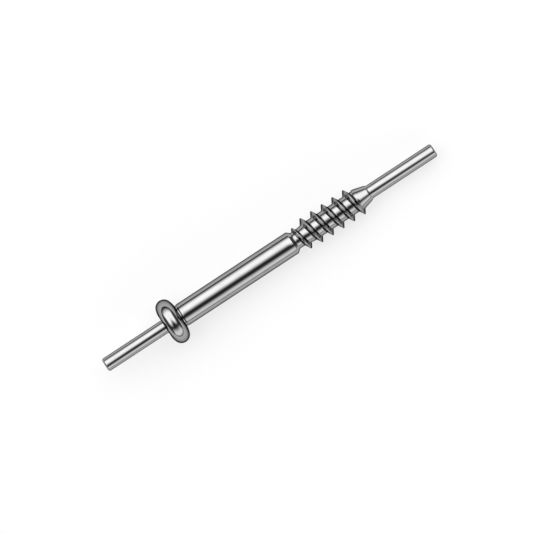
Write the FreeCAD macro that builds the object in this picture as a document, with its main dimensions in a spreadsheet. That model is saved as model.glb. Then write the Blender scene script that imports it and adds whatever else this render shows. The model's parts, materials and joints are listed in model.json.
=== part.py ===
import FreeCAD, Part
import math
import os
import Sketcher

from FreeCAD import Placement, Rotation, Vector

# Odontoid screw on its guide wire: a cannulated lag screw for the neck's second vertebra.
# The axis of both pieces is X, with the head at x = 0 and the tip towards +X. The last step
# lays the pair down on its head rim and its last full crest, as it comes to rest.

doc = FreeCAD.newDocument("odontoid_screw")
sheet = doc.addObject("Spreadsheet::Sheet", "Sizes")

SIZES = [
    ("head_diameter", 6.75, "outside of the rounded head"),
    ("rim_radius", 1.20, "rounding of the head's rim, seen from the side"),
    ("crown_radius", 4.50, "crown of the head's two faces, seen from the side"),
    ("collar_diameter", 3.24, "short collar in front of the head"),
    ("collar_length", 0.08, "from the head's front to the bevel of the shank"),
    ("shank_bevel", 0.18, "length of the bevel up to the shank"),
    ("shank_diameter", 3.40, "plain shank"),
    ("shank_length", 17.99, "plain shank, from bevel to chamfer"),
    ("shank_chamfer", 0.50, "length of the chamfer down to the neck"),
    ("neck_relief", 0.19, "how deep the neck between shank and thread lies under the core"),
    ("neck_length", 0.87, "plain part of the relief"),
    ("core_taper_length", 0.40, "length in which the core grows from neck to full size"),
    ("core_length", 8.84, "core at full size, up to the land"),
    ("core_diameter", 2.98, "core between the threads"),
    ("thread_diameter", 4.50, "outside of the crests"),
    ("thread_pitch", 1.75, "advance for each turn"),
    ("thread_angle", 58.0, "angle between the two flanks, in degrees"),
    ("crest_flat", 0.06, "width of the flat on the crest"),
    ("thread_clock", -56.2, "where the ridge starts, in degrees from +Y towards +Z"),
    ("thread_setback", 0.20, "from the start of the neck to the start of the ridge"),
    ("thread_end_gap", 0.045, "plain core between the ridge's front flank and the land"),
    ("run_in_turns", 0.95, "turns in which the ridge rises out of the neck"),
    ("run_out_turns", 0.35, "turns in which the ridge sinks into the core"),
    ("land_rise", 0.10, "how high the plain land in front of the thread stands on the core"),
    ("land_length", 0.34, "length of the land"),
    ("tip_diameter", 2.38, "front end of the tip's cone"),
    ("tip_length", 1.46, "length of the tip's cone"),
    ("nose_length", 0.25, "length of the steep bevel at the very front"),
    ("nose_rim", 0.03, "width of the ring left round the mouth of the bore"),
    ("wire_diameter", 2.00, "guide wire"),
    ("bore_clearance", 0.035, "gap round the wire in its bore, on the radius"),
    ("wire_rear_stub", 9.707, "how far the wire stands out behind the head"),
    ("wire_front_stub", 10.7, "how far the wire stands out in front of the tip"),
    ("wire_edge_radius", 0.14, "rounding of the wire's two ends"),
    ("hex_across_flats", 3.50, "drive socket in the rear of the head"),
    ("hex_depth", 1.80, "depth of the drive socket from the head's rear"),
    ("through_cut", 2.00, "how far the cutters of bore and socket stand out of the screw"),
]

for row, (alias, value, note) in enumerate(SIZES, start=1):
    sheet.set(f"A{row}", alias)
    sheet.set(f"B{row}", str(value))
    sheet.set(f"C{row}", note)
    sheet.setAlias(f"B{row}", alias)
doc.recompute()


def size(alias):
    """A driving dimension as the sheet holds it."""
    return float(sheet.get(alias))


def cells(expression):
    """An expression on the sheet's aliases, with each alias written as its cell."""
    words = expression.split()
    aliases = {alias for alias, value, note in SIZES}
    return " ".join(f"Sizes.{word}" if word in aliases else word for word in words)


# Stations along the axis, each from the one before it.
HEAD_RING = "( head_diameter / 2 - rim_radius )"
BORE_RADIUS = "( wire_diameter / 2 + bore_clearance )"
CROWN_SETBACK = ("sqrt( ( crown_radius - rim_radius ) ^ 2 - ( "
                 + HEAD_RING + " - " + BORE_RADIUS + " ) ^ 2 )")
HEAD_FRONT = "( crown_radius - " + CROWN_SETBACK + " )"
HEAD_REAR = "- " + HEAD_FRONT
COLLAR_END = HEAD_FRONT + " + collar_length"
SHANK_START = COLLAR_END + " + shank_bevel"
SHANK_END = SHANK_START + " + shank_length"
NECK_START = SHANK_END + " + shank_chamfer"
NECK_END = NECK_START + " + neck_length"
CORE_START = NECK_END + " + core_taper_length"
LAND_START = CORE_START + " + core_length"
LAND_END = LAND_START + " + land_length"
TIP_END = LAND_END + " + tip_length"
NOSE_END = TIP_END + " + nose_length"
NECK_RADIUS = "( core_diameter / 2 - neck_relief )"
LAND_RADIUS = "( core_diameter / 2 + land_rise )"


def half_profile(body, name, corners):
    """Closed sketch on the body's XY plane: the corners (x, radius) joined down to the axis."""
    plane = next(item for item in body.Origin.OriginFeatures if item.Role == "XY_Plane")
    sketch = body.newObject("Sketcher::SketchObject", name)
    sketch.AttachmentSupport = (plane, [""])
    sketch.MapMode = "FlatFace"
    corners = [(corners[0][0], "0")] + corners + [(corners[-1][0], "0")]
    guesses = [(doc_value(x), doc_value(radius)) for x, radius in corners]
    for number, start in enumerate(guesses):
        finish = guesses[(number + 1) % len(guesses)]
        sketch.addGeometry(Part.LineSegment(Vector(*start, 0), Vector(*finish, 0)), False)
    for number in range(len(guesses)):
        following = (number + 1) % len(guesses)
        sketch.addConstraint(Sketcher.Constraint("Coincident", number, 2, following, 1))
    for number, (x, radius) in enumerate(corners):
        pin_down(sketch, number, x, radius)
    return sketch


def doc_value(expression):
    """The number that an expression on the sheet's aliases has at this moment."""
    return float(sheet.evalExpression(cells(expression).replace("Sizes.", "")))


def pin_down(sketch, number, x, radius):
    """Binds the first point of a line to its station and its radius, or to the axes."""
    origin, first_point = (-1, 1), 1
    for kind, axis_line, expression in (("DistanceX", -2, x), ("DistanceY", -1, radius)):
        if expression == "0":
            sketch.addConstraint(Sketcher.Constraint("PointOnObject", number, first_point, axis_line))
        else:
            value = doc_value(expression)
            index = sketch.addConstraint(
                Sketcher.Constraint(kind, *origin, number, first_point, value))
            sketch.setExpression(f"Constraints[{index}]", cells(expression))


def turned(body, sketch, name):
    """The sketch turned once round the axis of the part."""
    feature = body.newObject("PartDesign::Revolution", name)
    feature.Profile = sketch
    feature.ReferenceAxis = (sketch, ["H_Axis"])
    feature.Angle = 360.0
    return feature


# Blank of the screw: collar, shank, neck, core, land and tip are one turned profile. The head is
# a second one, a thick disc with a round rim and two crowned faces that run into the rim.

blank = doc.addObject("PartDesign::Body", "blank")
blank_profile = half_profile(blank, "blank_profile", [
    ("0", "collar_diameter / 2"),
    (COLLAR_END, "collar_diameter / 2"),
    (SHANK_START, "shank_diameter / 2"),
    (SHANK_END, "shank_diameter / 2"),
    (NECK_START, NECK_RADIUS),
    (NECK_END, NECK_RADIUS),
    (CORE_START, "core_diameter / 2"),
    (LAND_START, "core_diameter / 2"),
    (LAND_START, LAND_RADIUS),
    (LAND_END, LAND_RADIUS),
    (TIP_END, "tip_diameter / 2"),
    (NOSE_END, BORE_RADIUS + " + nose_rim"),
])
turned(blank, blank_profile, "turned_blank")

head_section = blank.newObject("Sketcher::SketchObject", "head_section")
head_section.AttachmentSupport = blank_profile.AttachmentSupport
head_section.MapMode = "FlatFace"
START, FINISH, CENTRE = 1, 2, 3
ORIGIN, AXIS, MIDDLE_LINE = (-1, 1), -1, -2
ring, bore_edge, crown_setback, half_width = (
    doc_value(expression) for expression in (HEAD_RING, BORE_RADIUS, CROWN_SETBACK, HEAD_FRONT))
to_rim = math.atan2(ring - bore_edge, crown_setback)
crown_arcs = {}
for name, centre_x, first, last in (("rear", crown_setback, math.pi - to_rim, math.pi),
                                    ("front", -crown_setback, 0.0, to_rim)):
    circle = Part.Circle(Vector(centre_x, bore_edge, 0), Vector(0, 0, 1), size("crown_radius"))
    crown_arcs[name] = head_section.addGeometry(Part.ArcOfCircle(circle, first, last), False)
rim_circle = Part.Circle(Vector(0, ring, 0), Vector(0, 0, 1), size("rim_radius"))
rim = head_section.addGeometry(Part.ArcOfCircle(rim_circle, to_rim, math.pi - to_rim), False)
corners = [Vector(-half_width, bore_edge, 0), Vector(-half_width, 0, 0),
           Vector(half_width, 0, 0), Vector(half_width, bore_edge, 0)]
rear_face, along_axis, front_face = (
    head_section.addGeometry(Part.LineSegment(corner, following), False)
    for corner, following in zip(corners, corners[1:]))
rear, front = crown_arcs["rear"], crown_arcs["front"]
for constraint in (
        ("Tangent", rim, FINISH, rear, START),
        ("Tangent", front, FINISH, rim, START),
        ("Coincident", rear, FINISH, rear_face, START),
        ("Coincident", rear_face, FINISH, along_axis, START),
        ("Coincident", along_axis, FINISH, front_face, START),
        ("Coincident", front_face, FINISH, front, START),
        ("PointOnObject", rear_face, FINISH, AXIS),
        ("PointOnObject", front_face, START, AXIS),
        ("PointOnObject", rim, CENTRE, MIDDLE_LINE),
        ("Vertical", rear_face),
        ("Vertical", front_face)):
    head_section.addConstraint(Sketcher.Constraint(*constraint))
for constraint, expression in (
        (("Radius", rim), "rim_radius"),
        (("Radius", rear), "crown_radius"),
        (("Radius", front), "crown_radius"),
        (("DistanceY", *ORIGIN, rim, CENTRE), HEAD_RING),
        (("DistanceY", *ORIGIN, rear, CENTRE), BORE_RADIUS),
        (("DistanceY", *ORIGIN, front, CENTRE), BORE_RADIUS),
        (("DistanceY", *ORIGIN, rear, FINISH), BORE_RADIUS),
        (("DistanceY", *ORIGIN, front, START), BORE_RADIUS)):
    driven = head_section.addConstraint(Sketcher.Constraint(*constraint, doc_value(expression)))
    head_section.setExpression(f"Constraints[{driven}]", cells(expression))
turned(blank, head_section, "crowned_head")


# Thread: one ridge of V section, swept along a right-hand helix. It rises out of the neck at its
# rear end and sinks into the core at its front end, as a whirled thread does. The section keeps
# its own plane through the axis all the way.

def ease(share):
    """Rises from 0 to 1, steep at first and level at the end."""
    return math.sin(max(0.0, min(1.0, share)) * math.pi / 2)


def crest_radius(turn, turns, sunk):
    """Height of the ridge's crest after so many turns, when its ends lie so deep in the core."""
    full = size("thread_diameter") / 2
    rear = doc_value(NECK_RADIUS) - sunk
    front = size("core_diameter") / 2 - sunk
    if turn < size("run_in_turns"):
        return rear + (full - rear) * ease(turn / size("run_in_turns"))
    return front + (full - front) * ease((turns - turn) / size("run_out_turns"))


def helix_point(turn, turns, sunk):
    """Point on the crest after so many turns."""
    angle = math.radians(size("thread_clock")) + 2 * math.pi * turn
    radius = crest_radius(turn, turns, sunk)
    return Vector(THREAD_START + turn * size("thread_pitch"),
                  radius * math.cos(angle), radius * math.sin(angle))


def flank_overrun():
    """How far the front flank, where it meets the core, gets ahead of the ridge's own end."""
    turns = size("run_in_turns") + size("run_out_turns")
    overrun = 0.0
    for step in range(RUN_OUT_STEPS):
        turns_back = size("run_out_turns") * step / RUN_OUT_STEPS
        height = crest_radius(turns - turns_back, turns, SUNK[0]) - size("core_diameter") / 2
        flank = size("crest_flat") / 2 + height * FLANK_SLOPE
        overrun = max(overrun, flank - turns_back * size("thread_pitch"))
    return overrun


SUNK = (0.12, 0.14, 0.17)   # depths of the ridge's foot and ends under the core, tried in turn
POINTS_PER_TURN = 24        # through which the smooth path is drawn
RUN_OUT_STEPS = 100         # in which the sinking ridge is looked through
LEAST_SHARE_OUTSIDE = 0.4   # of the ridge's volume, that stands out of the core once they join
FLANK_SLOPE = math.tan(math.radians(size("thread_angle") / 2))
THREAD_START = doc_value(NECK_START + " + thread_setback")
THREAD_END = doc_value(LAND_START + " - thread_end_gap") - flank_overrun()
TURNS = (THREAD_END - THREAD_START) / size("thread_pitch")


def ridge_solid(sunk):
    """The ridge, with its foot and its two ends so deep under the core."""
    steps = math.ceil(TURNS * POINTS_PER_TURN)
    crest_line = Part.BSplineCurve()
    crest_line.interpolate([helix_point(TURNS * step / steps, TURNS, sunk)
                            for step in range(steps + 1)])
    foot_depth = (size("thread_diameter") - size("core_diameter")) / 2 + sunk
    crest_half = size("crest_flat") / 2
    foot_half = crest_half + foot_depth * FLANK_SLOPE
    start_point = helix_point(0, TURNS, sunk)
    outward = Vector(0, start_point.y, start_point.z).normalize()
    along = Vector(1, 0, 0)
    tooth = [start_point - along * crest_half,
             start_point + along * crest_half,
             start_point + along * foot_half - outward * foot_depth,
             start_point - along * foot_half - outward * foot_depth]
    sweep = Part.BRepOffsetAPI.MakePipeShell(Part.Wire(crest_line.toShape()))
    sweep.setBiNormalMode(along)
    sweep.add(Part.makePolygon(tooth + tooth[:1]))
    sweep.build()
    sweep.makeSolid()
    return sweep.shape()


ridge = doc.addObject("Part::Feature", "thread_ridge")
threaded = doc.addObject("Part::Fuse", "threaded_blank")
threaded.Base = blank
threaded.Tool = ridge
for sunk in SUNK:
    ridge.Shape = ridge_solid(sunk)
    doc.recompute()
    stands_out = threaded.Shape.Volume - blank.Shape.Volume
    if LEAST_SHARE_OUTSIDE * ridge.Shape.Volume < stands_out < ridge.Shape.Volume:
        break
else:
    raise RuntimeError("the thread ridge did not join the blank")


# Bore for the guide wire, right through, and the hexagonal drive socket in the rear of the head.

ALONG_X = Rotation(Vector(0, 1, 0), 90)

bore = doc.addObject("Part::Cylinder", "bore")
bore.Placement.Rotation = ALONG_X
bore.setExpression("Radius", cells(BORE_RADIUS))
bore.setExpression("Height", cells(NOSE_END + " + " + HEAD_FRONT + " + through_cut * 2"))
bore.setExpression("Placement.Base.x", cells(HEAD_REAR + " - through_cut"))

socket = doc.addObject("Part::Prism", "hex_socket")
socket.Polygon = 6
socket.Placement.Rotation = ALONG_X
socket.setExpression("Circumradius", cells("hex_across_flats / 2 / cos(30deg)"))
socket.setExpression("Height", cells("hex_depth + through_cut"))
socket.setExpression("Placement.Base.x", cells(HEAD_REAR + " - through_cut"))

openings = doc.addObject("Part::Fuse", "openings")
openings.Base = bore
openings.Tool = socket

screw = doc.addObject("Part::Cut", "screw")
screw.Base = threaded
screw.Tool = openings


# Guide wire: a drawn rod with rounded ends, through the bore and out at both ends.

WIRE_REAR = HEAD_REAR + " - wire_rear_stub"
WIRE_LENGTH = "wire_rear_stub + " + HEAD_FRONT + " + " + NOSE_END + " + wire_front_stub"

guide_wire = doc.addObject("PartDesign::Body", "guide_wire")
wire_profile = half_profile(guide_wire, "wire_profile", [
    ("0", "wire_diameter / 2"),
    (WIRE_LENGTH, "wire_diameter / 2"),
])
wire_profile.setExpression("AttachmentOffset.Base.x", cells(WIRE_REAR))
rod = turned(guide_wire, wire_profile, "drawn_rod")
doc.recompute()
end_edges = [f"Edge{number}" for number, edge in enumerate(rod.Shape.Edges, start=1)
             if isinstance(edge.Curve, Part.Circle)]
rounding = guide_wire.newObject("PartDesign::Fillet", "rounded_ends")
rounding.Base = (rod, end_edges)
rounding.setExpression("Radius", cells("wire_edge_radius"))
doc.recompute()


# Rest: the pair lies on the head's rim and on the last full crest that faces the floor, so the
# axis leans down towards the tip. The origin is on the floor under the middle of the wire.

def last_floor_crest():
    """Station of the last crest at full height on the side that faces down."""
    pitch = size("thread_pitch")
    clock_to_floor = ((270.0 - size("thread_clock")) / 360.0) % 1.0
    full_until = TURNS - size("run_out_turns")
    turn = clock_to_floor + math.floor(max(full_until - clock_to_floor, 0.0))
    return THREAD_START + turn * pitch


ring_radius = doc_value(HEAD_RING)
section_radius = size("rim_radius")
crest_station = last_floor_crest() + size("crest_flat") / 2
crest_below_ring = size("thread_diameter") / 2 - ring_radius
lean = (math.asin(section_radius / math.hypot(crest_station, crest_below_ring))
        - math.atan2(crest_below_ring, crest_station))
axis_height = ring_radius * math.cos(lean) + section_radius
wire_middle = doc_value(WIRE_REAR) + doc_value(WIRE_LENGTH) / 2

lying = Placement(Vector(-wire_middle * math.cos(lean), 0, axis_height),
                  Rotation(Vector(0, 1, 0), math.degrees(lean)))
screw.Placement = lying
guide_wire.Placement = lying
doc.recompute()


# Checks, then one file for each piece.

for item in doc.Objects:
    if {"Invalid", "Error"} & set(item.State):
        raise RuntimeError(f"{item.Name} did not build: {item.State}")

pieces = {"screw": screw, "guide_wire": guide_wire}
for label, piece in pieces.items():
    piece.Label = label
    if piece.Shape.isNull() or not piece.Shape.isValid() or len(piece.Shape.Solids) != 1:
        raise RuntimeError(f"{label} is not one sound solid")

os.makedirs("parts", exist_ok=True)
for label, piece in pieces.items():
    piece.Shape.exportStep(f"parts/{label}.step")
    box = piece.Shape.optimalBoundingBox()
    print(f"{label}: volume {piece.Shape.Volume:.3f} mm3, {len(piece.Shape.Faces)} faces, "
          f"x {box.XMin:.3f} to {box.XMax:.3f}, y {box.YMin:.3f} to {box.YMax:.3f}, "
          f"z {box.ZMin:.3f} to {box.ZMax:.3f}")
print(f"lean {math.degrees(lean):.3f} degrees, head centre at {lying.Base}, turns {TURNS:.2f}, "
      f"floor crest at {crest_station:.3f} mm")
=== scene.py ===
# Odontoid screw on its guide wire, lying on a pale table and lit by two long soft panels.

import json
import math

import bpy
from mathutils import Matrix, Vector


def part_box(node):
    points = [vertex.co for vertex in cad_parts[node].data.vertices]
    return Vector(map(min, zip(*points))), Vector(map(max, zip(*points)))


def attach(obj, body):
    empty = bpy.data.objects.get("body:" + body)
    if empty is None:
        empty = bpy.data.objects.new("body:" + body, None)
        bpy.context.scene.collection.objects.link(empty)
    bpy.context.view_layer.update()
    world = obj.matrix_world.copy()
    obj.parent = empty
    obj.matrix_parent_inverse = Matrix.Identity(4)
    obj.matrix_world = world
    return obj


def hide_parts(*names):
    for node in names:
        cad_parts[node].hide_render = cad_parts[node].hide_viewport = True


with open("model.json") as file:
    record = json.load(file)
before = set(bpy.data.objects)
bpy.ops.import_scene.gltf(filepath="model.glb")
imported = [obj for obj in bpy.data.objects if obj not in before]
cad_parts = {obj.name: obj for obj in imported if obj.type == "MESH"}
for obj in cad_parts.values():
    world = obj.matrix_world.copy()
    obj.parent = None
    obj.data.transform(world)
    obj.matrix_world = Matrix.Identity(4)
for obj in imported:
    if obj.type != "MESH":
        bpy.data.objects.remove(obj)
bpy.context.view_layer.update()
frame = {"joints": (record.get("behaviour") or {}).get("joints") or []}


# Screw: one piece of implant steel, turned from bar, with the guide wire's bore through it. Its
# head is a thick disc with a round rim and crowned faces. The thread is whirled out of the same
# bar, and the whole screw is polished.

# Sizes are in millimetres, and places are counted along X from the middle of the head.
segments = 120
rim_radius = 1.20
rim_ring = 2.175
crown_radius = 4.50
bore_radius = 1.035
shank_radius = 1.70
collar_radius = 1.62
collar_end = 1.483
shank_start = 1.663
shank_end = 19.653
neck_start = 20.153
neck_radius = 1.28
thread_opens = 20.26
thread_closes = 30.90
core_radius = 1.49
land_start = 30.263
land_radius = 1.59
land_end = 30.603
tip_end = 32.063
tip_radius = 1.19
nose_end = 32.313
nose_rim = 0.03

socket_flat = 1.75
socket_corner = socket_flat / math.cos(math.radians(30))
socket_floor = 0.397
socket_wall_top = -1.16
socket_lead_in = 0.07
mouth_radius = socket_corner + socket_lead_in

# Every edge is broken by this length, and these are the slopes of the breaks.
edge_break = 0.04
neck_rise = 0.8
chamfer_fall = 0.6
bevel_fall = 0.5
nose_fall = 0.5
cone_rise = 0.3

# Long walls get a ring this far from each end, which keeps their shading straight.
ring_gap = 1.0
socket_ring_gap = 0.1

front_steps = 5
rim_steps = 28
rear_steps = 3


def draw_profile(name, points):
    """A chain of points (x, radius), each pulled out of the last, left open in edit mode."""
    bpy.ops.object.select_all(action="DESELECT")
    bpy.ops.mesh.primitive_plane_add(size=1.0)
    piece = bpy.context.object
    piece.name = name
    bpy.ops.object.mode_set(mode="EDIT")
    bpy.ops.mesh.merge(type="CENTER")
    bpy.ops.transform.translate(value=(points[0][0], points[0][1], 0.0))
    for (x, radius), (next_x, next_radius) in zip(points, points[1:]):
        step = (next_x - x, next_radius - radius, 0.0)
        bpy.ops.mesh.extrude_vertices_move(TRANSFORM_OT_translate={"value": step})
    bpy.ops.mesh.select_all(action="SELECT")
    return piece


def arc_points(centre, radius, start, end, steps):
    """Points of an arc, by its angles from +X over the outside of the head."""
    angles = [start + (end - start) * step / steps for step in range(steps + 1)]
    return [(centre[0] + radius * math.cos(angle), centre[1] + radius * math.sin(angle))
            for angle in angles]


def outer_radius(x):
    """Radius of the core in front of the relief, then of the land and of the tip's cone."""
    if x < land_start:
        return core_radius
    if x < land_end:
        return land_radius
    share = (x - land_end) / (tip_end - land_end)
    return land_radius + (tip_radius - land_radius) * share


crown_setback = math.sqrt((crown_radius - rim_radius) ** 2 - (rim_ring - bore_radius) ** 2)
to_rim = math.atan2(rim_ring - bore_radius, crown_setback)
at_collar = math.asin((collar_radius - bore_radius) / crown_radius)
at_mouth = math.asin((mouth_radius - bore_radius) / crown_radius)
front_face = arc_points((-crown_setback, bore_radius), crown_radius,
                        at_collar, to_rim, front_steps)
rim = arc_points((0.0, rim_ring), rim_radius, to_rim, math.pi - to_rim, rim_steps)
rear_face = arc_points((crown_setback, bore_radius), crown_radius,
                       math.pi - to_rim, math.pi - at_mouth, rear_steps)
head_outline = front_face + rim[1:] + rear_face[1:]

# The blank is one turned form. Its outline runs from the neck back over the shank and the head,
# down into the socket and forward through the bore, and stays open where the thread goes.
blank = draw_profile("screw_dressed", [
    (thread_opens, neck_radius),
    (neck_start + edge_break, neck_radius),
    (neck_start - edge_break, neck_radius + edge_break * neck_rise),
    (shank_end + edge_break, shank_radius - edge_break * chamfer_fall),
    (shank_end - edge_break, shank_radius),
    (shank_end - ring_gap, shank_radius),
    ((shank_start + shank_end) / 2, shank_radius),
    (shank_start + ring_gap, shank_radius),
    (shank_start + edge_break, shank_radius),
    (shank_start - edge_break, shank_radius - edge_break * bevel_fall),
    (collar_end, collar_radius),
    (head_outline[0][0] + edge_break, collar_radius),
    *head_outline,
    (socket_wall_top, socket_corner),
    (socket_wall_top + socket_ring_gap, socket_corner),
    (socket_floor - edge_break, socket_corner),
    (socket_floor, socket_corner - edge_break),
    (socket_floor, bore_radius + edge_break),
    (socket_floor + edge_break, bore_radius),
    (socket_floor + ring_gap, bore_radius),
    (nose_end - ring_gap, bore_radius),
    (nose_end - edge_break, bore_radius),
    (nose_end, bore_radius + nose_rim),
    (tip_end + edge_break, tip_radius - edge_break * nose_fall),
    (tip_end - edge_break, tip_radius + edge_break * cone_rise),
    (thread_closes, outer_radius(thread_closes)),
])
bpy.ops.mesh.spin(steps=segments, angle=2 * math.pi, center=(0, 0, 0), axis=(1, 0, 0))
bpy.ops.mesh.select_all(action="SELECT")
bpy.ops.mesh.remove_doubles(threshold=0.0005)
bpy.ops.object.mode_set(mode="OBJECT")

# The socket was spun round, as wide as its corners, and its wall is now drawn in to six flats.
near = 0.001
sixth = math.radians(60)
for vertex in blank.data.vertices:
    radius = math.hypot(vertex.co.y, vertex.co.z)
    beside_wall = socket_wall_top - near < vertex.co.x < socket_floor + near
    if beside_wall and bore_radius + 2 * edge_break < radius < socket_corner + near:
        clock = math.atan2(vertex.co.z, vertex.co.y) - math.radians(90)
        off_flat = clock % sixth - sixth / 2
        squeeze = socket_flat / socket_corner / math.cos(off_flat)
        vertex.co.y *= squeeze
        vertex.co.z *= squeeze

# The thread is one right-hand ridge of V section. It rises out of the relief behind it and sinks
# again behind the last crest, over the land in front.
pitch = 1.75
crest_radius = 2.25
crest_half = 0.05
crest_rounding = 0.045
thread_angle = math.radians(58)
flank_slope = math.tan(thread_angle / 2)
ridge_start = 20.353
ridge_clock = math.radians(-56.2)
ridge_turns = 5.93
run_in = 0.95
run_in_power = 0.35
run_out = 0.27
sunk = 0.12
relief_end = 20.95
core_full = 22.60
root_points = 7
whirled_turns = 8
full_height = crest_radius - core_radius
foot_half = crest_half + full_height * flank_slope

crest_at_clock_zero = ridge_start - ridge_clock / (2 * math.pi) * pitch - pitch
root = [pitch / 2 - (pitch / 2 - foot_half) * step / root_points for step in range(root_points)]
half_tooth = [(offset, core_radius) for offset in root] + [
    (foot_half, core_radius),
    ((foot_half + crest_half) / 2, (core_radius + crest_radius) / 2),
    (crest_half, crest_radius)]
tooth = [(-offset, radius) for offset, radius in half_tooth] + half_tooth[::-1]
thread = draw_profile("thread", [(crest_at_clock_zero + x, radius) for x, radius in tooth])
bpy.ops.object.mode_set(mode="OBJECT")

whirl = thread.modifiers.new("whirl", "SCREW")
whirl.axis = "X"
whirl.angle = 2 * math.pi
whirl.screw_offset = pitch
whirl.iterations = whirled_turns
whirl.steps = segments
whirl.render_steps = segments
bpy.ops.object.modifier_apply(modifier="whirl")
bpy.ops.object.mode_set(mode="EDIT")
bpy.ops.mesh.select_all(action="SELECT")
bpy.ops.mesh.remove_doubles(threshold=0.0005)
bpy.ops.object.mode_set(mode="OBJECT")

rounding = thread.modifiers.new("rounding", "BEVEL")
rounding.width = crest_rounding
rounding.segments = 2
rounding.limit_method = "ANGLE"
rounding.angle_limit = math.radians(40)
bpy.ops.object.modifier_apply(modifier="rounding")


def core_at(x):
    """Radius of the core, which grows out of the relief."""
    share = min(max((x - relief_end) / (core_full - relief_end), 0.0), 1.0)
    return neck_radius + (core_radius - neck_radius) * share


def ridge_height(turn, base):
    """Height of the crest over the core after so many turns, as a share of the full height."""
    rear = neck_radius - sunk
    front = core_radius - sunk
    if turn < run_in:
        rise = max(turn / run_in, 0.0) ** run_in_power
        crest = rear + (crest_radius - rear) * rise
    else:
        rise = math.sin(min(max((ridge_turns - turn) / run_out, 0.0), 1.0) * math.pi / 2)
        crest = front + (crest_radius - front) * rise
    return max(crest - base, 0.0) / full_height


for vertex in thread.data.vertices:
    radius = math.hypot(vertex.co.y, vertex.co.z)
    clock = math.atan2(vertex.co.z, vertex.co.y)
    nearest = (vertex.co.x - ridge_start) / pitch - (clock - ridge_clock) / (2 * math.pi)
    turn = (clock - ridge_clock) / (2 * math.pi) + round(nearest)
    crest_x = ridge_start + turn * pitch
    offset = vertex.co.x - crest_x
    base = core_at(vertex.co.x)
    height = ridge_height(turn, base)
    if abs(offset) <= foot_half:
        offset *= height
    else:
        share = (abs(offset) - foot_half) / (pitch / 2 - foot_half)
        spread = foot_half * height + (pitch / 2 - foot_half * height) * share
        offset = math.copysign(spread, offset)
    lowered = base + (radius - core_radius) * height
    vertex.co = (crest_x + offset, vertex.co.y * lowered / radius, vertex.co.z * lowered / radius)

# The land is turned under the last crest, and the ridge is cut off at both ends of its length.
bpy.ops.object.mode_set(mode="EDIT")
for station in (land_start - edge_break / 2, land_start + edge_break / 2, land_end):
    bpy.ops.mesh.select_all(action="SELECT")
    bpy.ops.mesh.bisect(plane_co=(station, 0, 0), plane_no=(1, 0, 0), threshold=0.00001)
bpy.ops.object.mode_set(mode="OBJECT")
for vertex in thread.data.vertices:
    radius = math.hypot(vertex.co.y, vertex.co.z)
    least = outer_radius(vertex.co.x)
    if vertex.co.x > core_full and radius < least:
        vertex.co.y *= least / radius
        vertex.co.z *= least / radius
bpy.ops.object.mode_set(mode="EDIT")
for station, keep_front in ((thread_opens, True), (thread_closes, False)):
    bpy.ops.mesh.select_all(action="SELECT")
    bpy.ops.mesh.bisect(plane_co=(station, 0, 0), plane_no=(1, 0, 0), threshold=0.00001,
                        clear_inner=keep_front, clear_outer=not keep_front)
bpy.ops.mesh.select_all(action="SELECT")
bpy.ops.mesh.remove_doubles(threshold=0.002)
bpy.ops.object.mode_set(mode="OBJECT")


def mark_open_edges(mesh, station, reach):
    """Marks the open edges near a station on the axis, and nothing else."""
    uses = {}
    for face in mesh.polygons:
        for key in face.edge_keys:
            uses[key] = uses.get(key, 0) + 1
    for edge in mesh.edges:
        middle = (mesh.vertices[edge.vertices[0]].co.x + mesh.vertices[edge.vertices[1]].co.x) / 2
        edge.select = uses.get(edge.key, 0) == 1 and abs(middle - station) < reach


# Thread and blank are bridged at both open rings, so that the whole screw is one closed skin.
blank.select_set(True)
bpy.context.view_layer.objects.active = blank
bpy.ops.object.join()
screw = blank
for station in (thread_opens, thread_closes):
    bpy.ops.object.mode_set(mode="EDIT")
    bpy.ops.mesh.select_all(action="DESELECT")
    bpy.ops.mesh.select_mode(type="EDGE")
    bpy.ops.object.mode_set(mode="OBJECT")
    mark_open_edges(screw.data, station, edge_break / 2)
    bpy.ops.object.mode_set(mode="EDIT")
    bpy.ops.mesh.bridge_edge_loops()
bpy.ops.mesh.select_all(action="SELECT")
bpy.ops.mesh.remove_doubles(threshold=0.001)
bpy.ops.mesh.normals_make_consistent(inside=False)
bpy.ops.object.mode_set(mode="OBJECT")
smooth_below = math.radians(28)
bpy.ops.object.shade_smooth_by_angle(angle=smooth_below)

# The screw rests on the rim of its head and on one crest of its thread, so its axis leans down
# towards the tip. Lean and place are taken from the frame's guide wire, which lies on that axis.
mm = 0.001
wire_rear = -11.11
wire_front = 43.013
wire_low, wire_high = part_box("guide_wire")
slide = next(joint for joint in frame["joints"] if joint["name"] == "wire_slide")
axis = Vector(slide["axis"]).normalized()
lean = math.atan2(-axis.z, axis.x)
head_centre = (wire_low + wire_high) / 2 - axis * (wire_rear + wire_front) / 2 * mm
lying = Matrix.Translation(head_centre) @ Matrix.Rotation(lean, 4, "Y")


def lay_down(piece):
    """Puts a piece, modelled in millimetres along X, in its place on the table."""
    bpy.ops.object.select_all(action="DESELECT")
    piece.select_set(True)
    bpy.context.view_layer.objects.active = piece
    piece.matrix_world = lying @ Matrix.Scale(mm, 4)
    bpy.ops.object.transform_apply(location=True, rotation=True, scale=True)


def add_node(tree, kind, **settings):
    """A shader node with its settings, by the names that Blender gives them."""
    node = tree.nodes.new(kind)
    for key, value in settings.items():
        setattr(node, key, value)
    return node


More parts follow.
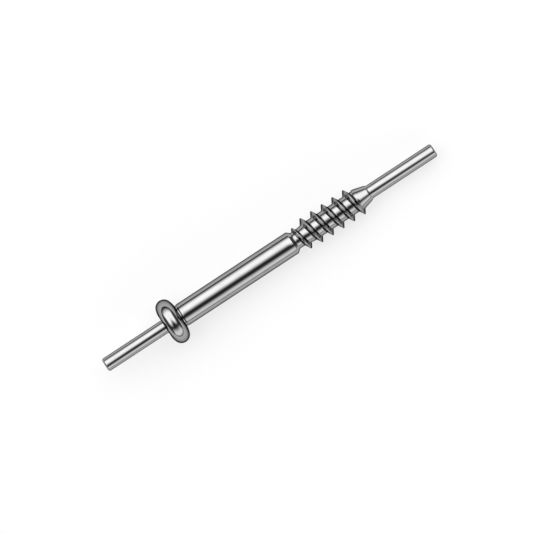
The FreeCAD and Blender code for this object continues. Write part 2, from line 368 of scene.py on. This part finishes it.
def polished_steel(name, line_scale, line_depth, roughness):
    """Bright steel with fine tool lines, in a frame that has X along the axis."""
    material = bpy.data.materials.new(name)
    material.use_nodes = True
    tree = material.node_tree
    surface = tree.nodes["Principled BSDF"]
    surface.inputs["Metallic"].default_value = 1.0
    surface.inputs["Specular Tint"].default_value = (0.02, 0.02, 0.02, 1.0)
    place = add_node(tree, "ShaderNodeTexCoord")
    along_axis = add_node(tree, "ShaderNodeMapping", vector_type="TEXTURE")
    along_axis.inputs["Location"].default_value = head_centre
    along_axis.inputs["Rotation"].default_value = (0.0, lean, 0.0)
    along_axis.inputs["Scale"].default_value = (mm, mm, mm)
    tree.links.new(place.outputs["Object"], along_axis.inputs["Vector"])

    lines = add_node(tree, "ShaderNodeMapping", vector_type="POINT")
    lines.inputs["Scale"].default_value = line_scale
    tree.links.new(along_axis.outputs["Vector"], lines.inputs["Vector"])
    grain = add_node(tree, "ShaderNodeTexNoise")
    grain.inputs["Scale"].default_value = 1.0
    grain.inputs["Detail"].default_value = 4.0
    tree.links.new(lines.outputs["Vector"], grain.inputs["Vector"])
    tool_lines = add_node(tree, "ShaderNodeBump")
    tool_lines.inputs["Strength"].default_value = line_depth
    tool_lines.inputs["Distance"].default_value = 0.02 * mm
    tree.links.new(grain.outputs["Fac"], tool_lines.inputs["Height"])
    tree.links.new(tool_lines.outputs["Normal"], surface.inputs["Normal"])
    polish = add_node(tree, "ShaderNodeMapRange")
    polish.inputs["To Min"].default_value = roughness * 0.8
    polish.inputs["To Max"].default_value = roughness * 1.25
    tree.links.new(grain.outputs["Fac"], polish.inputs["Value"])
    tree.links.new(polish.outputs["Result"], surface.inputs["Roughness"])

    cloud = add_node(tree, "ShaderNodeTexNoise")
    cloud.inputs["Scale"].default_value = 0.7
    cloud.inputs["Detail"].default_value = 3.0
    tree.links.new(along_axis.outputs["Vector"], cloud.inputs["Vector"])
    tint = add_node(tree, "ShaderNodeValToRGB")
    tint.color_ramp.elements[0].position = 0.3
    tint.color_ramp.elements[0].color = (0.345, 0.345, 0.35, 1.0)
    tint.color_ramp.elements[1].position = 0.7
    tint.color_ramp.elements[1].color = (0.38, 0.38, 0.38, 1.0)
    tree.links.new(cloud.outputs["Fac"], tint.inputs["Fac"])
    tree.links.new(tint.outputs["Color"], surface.inputs["Base Color"])
    return material


# Turning leaves lines round the axis, so they are fine along X and long around it.
turned_lines = (14.0, 0.9, 0.9)

lay_down(screw)
screw.data.materials.clear()
screw.data.materials.append(polished_steel("polished_implant_steel", turned_lines, 0.05, 0.07))
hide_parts("screw")
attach(screw, "screw")


# Guide wire: a drawn and straightened rod of spring-hard steel, cut to length. Both ends are
# ground slightly domed, with a round rim. It runs through the screw's bore and slides in it.

wire_radius = 1.00
wire_rounding = 0.24
wire_dome = 0.06
dome_ring = 0.25
wire_sides = 96
facing_end = 0.9

# Drawing leaves lines along the axis.
drawn_lines = (0.25, 9.0, 9.0)

bpy.ops.object.select_all(action="DESELECT")
bpy.ops.mesh.primitive_cylinder_add(
    vertices=wire_sides, radius=wire_radius, depth=wire_front - wire_rear,
    location=((wire_rear + wire_front) / 2, 0.0, 0.0), rotation=(0.0, math.radians(90), 0.0))
wire = bpy.context.object
wire.name = "guide_wire_dressed"
bpy.ops.object.transform_apply(location=True, rotation=True, scale=True)
bpy.ops.object.mode_set(mode="EDIT")
bpy.ops.mesh.select_all(action="DESELECT")
bpy.ops.mesh.select_mode(type="FACE")
bpy.ops.object.mode_set(mode="OBJECT")
for face in wire.data.polygons:
    face.select = abs(face.normal.x) > facing_end
bpy.ops.object.mode_set(mode="EDIT")
bpy.ops.mesh.region_to_loop()
bpy.ops.mesh.bevel(offset=wire_rounding, segments=6, profile=0.42, affect="EDGES")
bpy.ops.mesh.select_all(action="DESELECT")
bpy.ops.object.mode_set(mode="OBJECT")
half_end_area = math.pi * (wire_radius - wire_rounding) ** 2 / 2
for face in wire.data.polygons:
    face.select = abs(face.normal.x) > facing_end and face.area > half_end_area
bpy.ops.object.mode_set(mode="EDIT")
bpy.ops.mesh.inset(thickness=dome_ring)
bpy.ops.mesh.inset(thickness=dome_ring)
bpy.ops.mesh.poke()
bpy.ops.object.mode_set(mode="OBJECT")
for vertex in wire.data.vertices:
    to_end = min(vertex.co.x - wire_rear, wire_front - vertex.co.x)
    if to_end < wire_rounding + near:
        drop = wire_dome * (vertex.co.y ** 2 + vertex.co.z ** 2) / wire_radius ** 2
        vertex.co.x += drop if vertex.co.x < 0 else -drop
bpy.ops.object.shade_smooth_by_angle(angle=smooth_below)

lay_down(wire)
wire.data.materials.append(polished_steel("drawn_wire_steel", drawn_lines, 0.03, 0.07))
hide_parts("guide_wire")
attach(wire, "guide_wire")


# Table: a large sheet of matt pale board, flat under the part. A soft glow brings it up to white
# for the eye and for what the steel mirrors.

table_width = 1.6
board_shade = (0.25, 0.25, 0.25, 1.0)
board_glow = 0.70

bpy.ops.object.select_all(action="DESELECT")
bpy.ops.mesh.primitive_plane_add(size=table_width)
table = bpy.context.object
table.name = "table"
board = bpy.data.materials.new("white_board")
board.use_nodes = True
board_surface = board.node_tree.nodes["Principled BSDF"]
board_surface.inputs["Base Color"].default_value = board_shade
board_surface.inputs["Roughness"].default_value = 0.9
board_surface.inputs["Specular IOR Level"].default_value = 0.0
board_surface.inputs["Emission Color"].default_value = (1.0, 1.0, 1.0, 1.0)
rays = add_node(board.node_tree, "ShaderNodeLightPath")
seen = add_node(board.node_tree, "ShaderNodeMath", operation="ADD")
seen_at_all = add_node(board.node_tree, "ShaderNodeMath", operation="ADD")
glow = add_node(board.node_tree, "ShaderNodeMath", operation="MULTIPLY")
glow.inputs[1].default_value = board_glow
board.node_tree.links.new(rays.outputs["Is Camera Ray"], seen.inputs[0])
board.node_tree.links.new(rays.outputs["Is Glossy Ray"], seen.inputs[1])
board.node_tree.links.new(seen.outputs["Value"], seen_at_all.inputs[0])
board.node_tree.links.new(rays.outputs["Is Transmission Ray"], seen_at_all.inputs[1])
board.node_tree.links.new(seen_at_all.outputs["Value"], glow.inputs[0])
board.node_tree.links.new(glow.outputs["Value"], board_surface.inputs["Emission Strength"])
table.data.materials.append(board)


# Light: two long soft panels over the table, side by side along the part, with a dark gap
# between them. Both are painted into the world by direction, in degrees round the X axis from
# straight up towards -Y.

main_level = 3.1
second_level = 1.9
dark_level = 0.06
past_the_ends = 0.02

# Each soft edge of a panel lies between two angles, and each end between two shares of length.
main_outer_edge = (-84, -44)
main_inner_edge = (-26, 15)
second_inner_edge = (30, 64)
second_outer_edge = (73, 92)
panel_ends = (0.62, 0.84)

# The gap is widest over the middle of the part, and the main panel narrows it by this angle
# between these shares of length.
gap_narrows_by = 17.0
gap_narrows = (0.10, 0.45)

world = bpy.data.worlds.new("studio")
bpy.context.scene.world = world
world.use_nodes = True
sky = world.node_tree
sky.nodes.clear()
direction = add_node(sky, "ShaderNodeTexCoord")
parts = add_node(sky, "ShaderNodeSeparateXYZ")
sky.links.new(direction.outputs["Generated"], parts.inputs["Vector"])


def sky_math(operation, *values):
    """A Math node of the world. A value is a number or another node's output."""
    node = add_node(sky, "ShaderNodeMath", operation=operation)
    for place, value in enumerate(values):
        if isinstance(value, (int, float)):
            node.inputs[place].default_value = value
        else:
            sky.links.new(value, node.inputs[place])
    return node.outputs["Value"]


def sky_ramp(value, span, start, end):
    """Goes smoothly from its start to its end while the value passes through the span."""
    node = add_node(sky, "ShaderNodeMapRange", interpolation_type="SMOOTHSTEP")
    sky.links.new(value, node.inputs["Value"])
    node.inputs["From Min"].default_value = span[0]
    node.inputs["From Max"].default_value = span[1]
    node.inputs["To Min"].default_value = start
    node.inputs["To Max"].default_value = end
    return node.outputs["Result"]


toward_minus_y = sky_math("MULTIPLY", parts.outputs["Y"], -1.0)
around = sky_math("DEGREES", sky_math("ARCTAN2", toward_minus_y, parts.outputs["Z"]))
lengthwise = sky_math("ABSOLUTE", parts.outputs["X"])
panel_length = sky_ramp(lengthwise, panel_ends, 1.0, past_the_ends)
into_gap = sky_math("SUBTRACT", around, sky_ramp(lengthwise, gap_narrows, 0.0, gap_narrows_by))
main_panel = sky_math("MULTIPLY", sky_ramp(around, main_outer_edge, 0.0, main_level),
                      sky_ramp(into_gap, main_inner_edge, 1.0, 0.0))
second_panel = sky_math("MULTIPLY", sky_ramp(around, second_inner_edge, 0.0, second_level),
                        sky_ramp(around, second_outer_edge, 1.0, 0.0))
panels = sky_math("MULTIPLY", sky_math("ADD", main_panel, second_panel), panel_length)
level = sky_math("ADD", panels, dark_level)
background = add_node(sky, "ShaderNodeBackground")
sky.links.new(level, background.inputs["Strength"])
output = add_node(sky, "ShaderNodeOutputWorld")
sky.links.new(background.outputs["Background"], output.inputs["Surface"])


# Camera: it looks down square to the axis from far above, turned so that the screw rises to the
# right with its head at the lower left.

view_turn = math.radians(33.3)
camera_along = 14.915 * mm
camera_aside = -0.786 * mm
camera_above = 814.4 * mm

camera_data = bpy.data.cameras.new("camera")
camera_data.lens = 400.0
camera_data.sensor_width = 36.0
camera_data.clip_start = 0.005
camera = bpy.data.objects.new("camera", camera_data)
bpy.context.scene.collection.objects.link(camera)
stand = Matrix.Translation(Vector((camera_along, camera_aside, camera_above)))
camera.matrix_world = lying @ stand @ Matrix.Rotation(-view_turn, 4, "Z")
bpy.context.scene.camera = camera
bpy.context.scene.view_settings.view_transform = "Standard"
